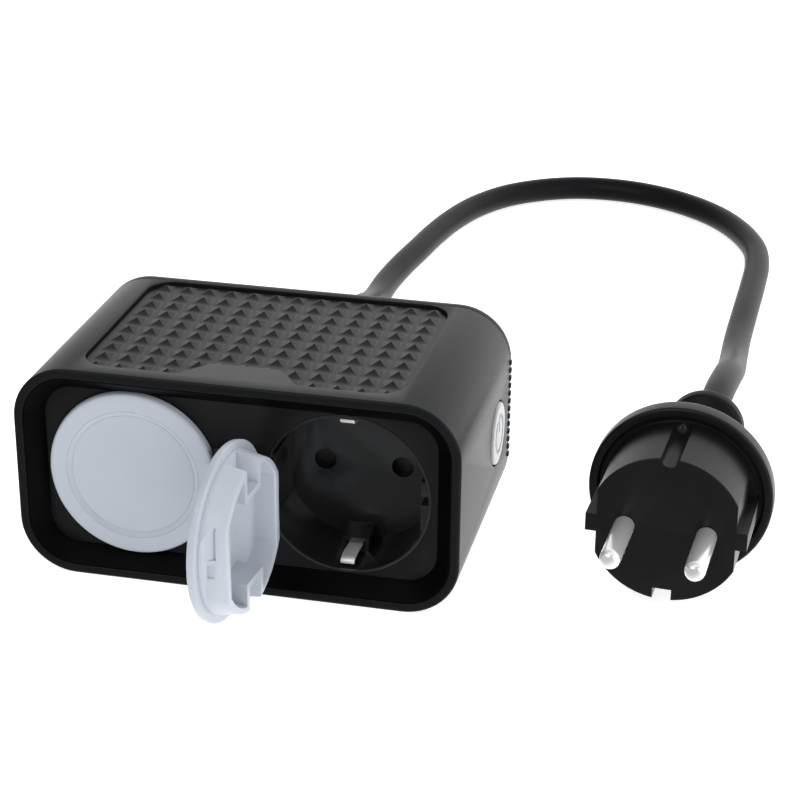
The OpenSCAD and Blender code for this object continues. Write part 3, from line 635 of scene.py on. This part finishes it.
def make_button():
    """The cap with its flange and stem, and the power symbol let into its face."""
    face, flange_r, flange_x, stem_r, stem_x = BUTTON_X, BUTTON_R + 1.2, WALL_X - 0.1, 2, 44.5
    cap = lathe(round_profile([(0, face - 0.05), (BUTTON_R - 0.2, face), (BUTTON_R, flange_x),
                               (flange_r, flange_x), (flange_r, WALL_X - 1.5), (stem_r, WALL_X - 1.5),
                               (stem_r, stem_x), (0, stem_x)],
                              [0, 0.7, 0, 0.1, 0.1, 0, 0.3, 0]), 96, "X", (0, BUTTON_Y, MID_Z))
    bm = cut(cap, *power_mark(face - 0.25, face + 1))
    add_piece(rounded("button_cap", bm, 0.06, 2, 45), "button", "power_button", "button_white")
    mark = finish_mesh("power_mark", gather(power_mark(face - 0.3, face - 0.16)))
    dress(add_piece(mark, "button", None, "button_white"), "button_mark")


def power_mark(low, high):
    """A broken circle and a line, as two solids."""
    half = MARK_HALF
    ring = arc(0, 0, MARK_R + half, 111, 429, 48) + arc(0, 0, MARK_R - half, 426, 114, 48)
    line = [(-half, 0.4), (half, 0.4), (half, 5.4), (-half, 5.4)]
    return [prism(outline, low, high, "X", (0, BUTTON_Y, MID_Z)) for outline in (ring, line)]


# Rear cover, boot and clips -----------------------------------------------------------------

def make_rear_cover():
    """The back plate, with counterbored screw holes and a row of ribs down each side edge."""
    profile = round_profile([(0, COVER_Y), (0, BACK_Y), (3, BACK_Y)], [0, 1.4, 0])
    profile[0] = (0.12, COVER_Y)
    bm = loft([(inset_outline(i), y) for i, y in profile], origin=(0, 0, MID_Z))
    bosses = [(sx * SCREW_X, sz * SCREW_Z) for sx in (-1, 1) for sz in (-1, 1)]
    hole_r, head_r, head_y = 1.7, 3.1, BACK_Y - 1.6
    screw_hole = [(hole_r, COVER_Y - 1), (hole_r, head_y), (head_r, head_y), (head_r, BACK_Y - 0.3),
                  (head_r + 0.4, BACK_Y + 0.1)]
    tools = [lathe(screw_hole, 40, "Y", (x, 0, MID_Z + z)) for x, z in bosses]
    gland_hole = [(GLAND_R + 0.1, COVER_Y - 1), (GLAND_R + 0.1, BACK_Y + 1)]
    tools.append(lathe(gland_hole, 64, "Y", (0, 0, MID_Z)))
    bm = cut(bm, *tools)
    ribs = []
    for x in (-BODY_W / 2, BODY_W / 2):
        for k in range(RIB_COUNT):
            z = MID_Z + (k - RIB_COUNT // 2) * RIB_PITCH
            low = (x - RIB_OUT, COVER_Y + 0.25, z - RIB_HALF)
            high = (x + RIB_OUT, COVER_Y + 1.55, z + RIB_HALF)
            ribs.append(brick(low, high))
    bm = join(bm, *ribs)
    add_piece(rounded("rear_plate", bm, 0.16, 2, 38), "box", "rear_cover", "black_plastic")


def make_boot():
    """Tapered strain relief with a flange and flexing rings."""
    start = BACK_Y + 2
    end = BACK_Y + BOOT_L
    inner_y = COVER_Y - 4
    profile = [(GLAND_R, inner_y), (GLAND_R, BACK_Y), (FLANGE_OUT, BACK_Y), (FLANGE_OUT, start - 0.5),
               (FLANGE_OUT - 0.15, start - 0.15), (FLANGE_OUT - 0.5, start), (GLAND_R + 0.6, start),
               (GLAND_R + 0.1, start + 0.4)]

    def radius(y):
        return GLAND_R + (BOOT_TIP_R - GLAND_R) * (y - start) / (end - start)

    y = start + 3
    while y < end - 5:
        profile += [(radius(y), y), (radius(y) - 0.15, y + 0.15), (radius(y) - 0.75, y + 0.3),
                    (radius(y) - 0.75, y + 1.1), (radius(y) - 0.15, y + 1.25), (radius(y + 1.4), y + 1.4)]
        y += BOOT_RING_PITCH
    profile += [(radius(end - 1), end - 1), (5.0, end - 0.3), (4.6, end), (BOOT_BORE_R, end),
                (BOOT_BORE_R, inner_y)]
    bm = lathe(profile + [profile[0]], 72, "Y", (0, 0, MID_Z))
    bmesh.ops.remove_doubles(bm, verts=bm.verts, dist=0.01 * MM)
    obj = finish_mesh("boot", bm, 30)
    add_piece(obj, "box", "cable_gland", "black_rubber")


def make_clips():
    """Sprung earth clips: strips with a raised, rounded front end, joined behind the well."""
    for name, side in (("earth_clip_left", -1), ("earth_clip_right", 1)):
        bm = None
        for s in (-1, 1):
            line = [(-26.0, 17.95), (-25.5, 17.5), (-24.6, 17.15), (-23.4, 17.0), (-22, 17.0),
                    (-20.4, 17.15), (-18.8, 17.3), (-3.4, 17.3)]
            inner = [(y, s * z) for y, z in line]
            outer = [(y, s * (z + CLIP_T)) for y, z in reversed(line)]
            strip = prism(inner + outer, -CLIP_HALF, CLIP_HALF, "X")
            bm = join(bm, strip) if bm else strip
        bm = join(bm, brick((-CLIP_HALF, -3.6, -18), (CLIP_HALF, -2.8, 18)))
        moved(bm, shift(side * SOCKET_X, 0, MID_Z))
        add_piece(rounded(name + "_spring", bm, 0.14, 3, 40), "box", name, "clip_steel")


# Plug ---------------------------------------------------------------------------------------

PLUG_PLACE = shift(98.7, -18.5, PLUG_Z) @ turn_z(-3.4)
NOSE_R, NOSE_L, FLANGE_R, FLANGE_L = 18.2, 19.5, 22, 5
BARREL_R, NOSE_END = 15, 30.5
FLAT_X, KEY_OUT, KEY_LOW, KEY_HIGH = 16.1, 18.7, -2.6, 1.8
GROOVE_R = 2.2
PIN_X, PIN_R, PIN_L, SHANK_R, SHANK_L = 9.5, 2.4, 19, 1.8, 13
RIDGES, RIDGE_PITCH = 5, 2.6


def make_plug():
    """The plug's front: a nose with flats, keys and earth grooves, and the flange behind it."""
    back = NOSE_L + 1.2
    flange_back = NOSE_L + FLANGE_L
    nose = lathe(round_profile([(0, 0), (NOSE_R - 0.1, 0), (NOSE_R, back), (FLANGE_R - 2.4, back),
                                (FLANGE_R - 2.2, NOSE_L), (FLANGE_R, NOSE_L), (FLANGE_R, flange_back),
                                (BARREL_R, flange_back), (BARREL_R, NOSE_END), (0, NOSE_END)],
                               [0, 0.4, 0.3, 0.3, 0.3, 0.9, 1.1, 0.6, 0.2, 0]), 128)
    flats = [brick((x - 2, -1, -9), (x + 2, NOSE_L - 0.2, 9)) for x in (-FLAT_X - 2, FLAT_X + 2)]
    bm = cut(nose, *flats)
    key_in, key_back = FLAT_X - 0.5, NOSE_L + 1.3
    keys = [brick((x, 0, KEY_LOW), (x + KEY_OUT - key_in, key_back, KEY_HIGH)) for x in (key_in, -KEY_OUT)]
    bm = join(bm, *keys)
    groove = lathe(round_profile([(0, -1), (GROOVE_R, -1), (GROOVE_R, NOSE_L - 0.8), (0, NOSE_L + 0.6)],
                                 [0, 0, 1.6, 0]), 40, "Y", (0, 0, NOSE_R))
    notch = brick((-GROOVE_R, -1, -NOSE_R - 1), (GROOVE_R, NOSE_L - 3, 3 - NOSE_R))
    shanks = [lathe([(SHANK_R, -1), (SHANK_R, SHANK_L)], 40, "Y", (s * PIN_X, 0, 0)) for s in (-1, 1)]
    beds = [brick((-1.6, 1.5, z - 0.4), (1.6, 15, z + 0.4)) for z in (NOSE_R - 2.6, 2.6 - NOSE_R)]
    bm = cut(bm, groove, notch, *shanks, *beds)
    moved(bm, PLUG_PLACE)
    return add_piece(rounded("plug_front", bm, 0.3, 3, 36), "box", "plug_body", "black_plastic")


def make_plug_grip():
    """The plug's rear: a tapered grip with ridges on both sides, and a disc at its end."""
    start = NOSE_END
    profile = round_profile([(BOOT_BORE_R, start), (BARREL_R - 0.05, start), (14.6, start + 3),
                             (13, start + 9), (10.6, start + 16), (8, start + 22), (6.9, start + 25.3),
                             (9.6, start + 26.6), (9.8, start + 30.2), (6.2, start + 30.6),
                             (6.0, start + 31.5), (4.05, start + 31.5), (BOOT_BORE_R, start + 26)],
                            [0, 0.3, 1.5, 3, 3, 2, 1.2, 1.1, 1.1, 0.3, 0.4, 0.3, 0])
    bm = lathe(profile + [profile[0]], 96)
    bmesh.ops.remove_doubles(bm, verts=bm.verts, dist=0.01 * MM)
    ridges = []
    for s in (-1, 1):
        for k in range(RIDGES):
            y = start + 6.2 + k * RIDGE_PITCH
            r = 13.9 - k * 1.15
            ridges.append(brick((s * r - 0.9, y, -3.6 + k * 0.25), (s * r + 0.9, y + 1.0, 3.6 - k * 0.25)))
    bm = cut(bm, *ridges)
    moved(bm, PLUG_PLACE)
    return add_piece(rounded("plug_rear", bm, 0.2, 2, 40, 30), "box", "plug_grip", "black_rubber")


def make_pins():
    """Two round pins with domed ends and thinner shanks inside the plug."""
    profile = round_profile([(0, -PIN_L), (PIN_R, -PIN_L), (PIN_R, -0.2), (SHANK_R, 0), (SHANK_R, SHANK_L),
                             (0, SHANK_L)], [0, 2.3, 0.05, 0, 0, 0])
    bm = gather([lathe(profile, 48, "Y", (s * PIN_X, 0, 0)) for s in (-1, 1)])
    moved(bm, PLUG_PLACE)
    return add_piece(finish_mesh("pins", bm, 40), "box", "plug_pins", "pin_chrome")


# Building ------------------------------------------------------------------------------------

cord_path = smooth([Vector(p) * MM for p in ROUTE], 6)
cord = add_piece(tube("cord_lead", cord_path, CORD_R, 32), "box", "cord", "black_rubber")
make_housing()
make_grip_panel()
make_lids()
make_button()
make_rear_cover()
make_boot()
make_clips()
plug_pieces = [make_plug(), make_plug_grip(), make_pins(), frame["nodes"]["plug_earth_contacts"]]
soften("front_panel", "box", "black_plastic", 0.18, 2)
for name in ("socket_left", "socket_right"):
    dress(soften(name, "box", "black_plastic", 0.25, 3), "well_black")
soften("rear_screws", "box", "screw_steel", 0.12, 2)


# Floor, world and lights --------------------------------------------------------------------

FLOOR_GLOW, FLOOR_SIZE, FLOOR_DROP = 0.75, 12, 0.05
WORLD_LEAN = (0.56, 0.68, -0.46)
WORLD_FROM, WORLD_TO = -0.75, 0.85
WORLD_LOW, WORLD_HIGH = 0.24, 1.75
CENTRE = (0, 0, 0)


def plain(name, colour, rough, glow=0.0):
    material = bpy.data.materials.new(name)
    material.use_nodes = True
    shader = material.node_tree.nodes["Principled BSDF"]
    shader.inputs["Base Color"].default_value = (*colour, 1)
    shader.inputs["Roughness"].default_value = rough
    shader.inputs["Emission Color"].default_value = (1, 1, 1, 1)
    shader.inputs["Emission Strength"].default_value = glow
    return material


def make_floor():
    bm = bmesh.new()
    bmesh.ops.create_grid(bm, x_segments=1, y_segments=1, size=FLOOR_SIZE)
    floor = finish_mesh("floor", bm)
    floor.location.z = -FLOOR_DROP * MM
    floor.data.materials.append(plain("floor_white", (0.9, 0.9, 0.9), 0.9, FLOOR_GLOW))
    floor.visible_glossy = False


def make_world():
    """Soft surround that grows brighter towards WORLD_LEAN, and plain white where the camera sees it."""
    world = bpy.data.worlds.new("studio")
    world.use_nodes = True
    nodes, links = world.node_tree.nodes, world.node_tree.links
    place = nodes.new("ShaderNodeTexCoord")
    lean = nodes.new("ShaderNodeVectorMath")
    lean.operation = "DOT_PRODUCT"
    lean.inputs[1].default_value = WORLD_LEAN
    links.new(place.outputs["Generated"], lean.inputs[0])
    spread = nodes.new("ShaderNodeMapRange")
    spread.interpolation_type = "SMOOTHSTEP"
    spread.inputs["From Min"].default_value = WORLD_FROM
    spread.inputs["From Max"].default_value = WORLD_TO
    spread.inputs["To Min"].default_value = WORLD_LOW
    spread.inputs["To Max"].default_value = WORLD_HIGH
    links.new(lean.outputs["Value"], spread.inputs["Value"])
    path = nodes.new("ShaderNodeLightPath")
    seen = nodes.new("ShaderNodeMath")
    seen.operation = "MAXIMUM"
    links.new(spread.outputs["Result"], seen.inputs[0])
    links.new(path.outputs["Is Camera Ray"], seen.inputs[1])
    links.new(seen.outputs["Value"], nodes["Background"].inputs["Strength"])
    nodes["Background"].inputs["Color"].default_value = (1, 1, 1, 1)
    bpy.context.scene.world = world


def area_light(name, place, target, size, power):
    data = bpy.data.lights.new(name, "AREA")
    data.shape = "RECTANGLE"
    data.size, data.size_y = size
    data.energy = power
    light = bpy.data.objects.new(name, data)
    light.location = place
    light.rotation_euler = (Vector(target) - Vector(place)).to_track_quat("-Z", "Y").to_euler()
    bpy.context.collection.objects.link(light)


make_floor()
make_world()
bpy.context.scene.view_settings.view_transform = "Standard"
area_light("key", (-0.35, -0.75, 0.75), CENTRE, (0.7, 0.5), 3.9)
area_light("top", (0.05, -0.25, 1.0), (0.05, -0.02, 0), (0.9, 0.5), 1.2)
area_light("fill", (0.75, -0.5, 0.4), CENTRE, (0.4, 0.5), 1.6)
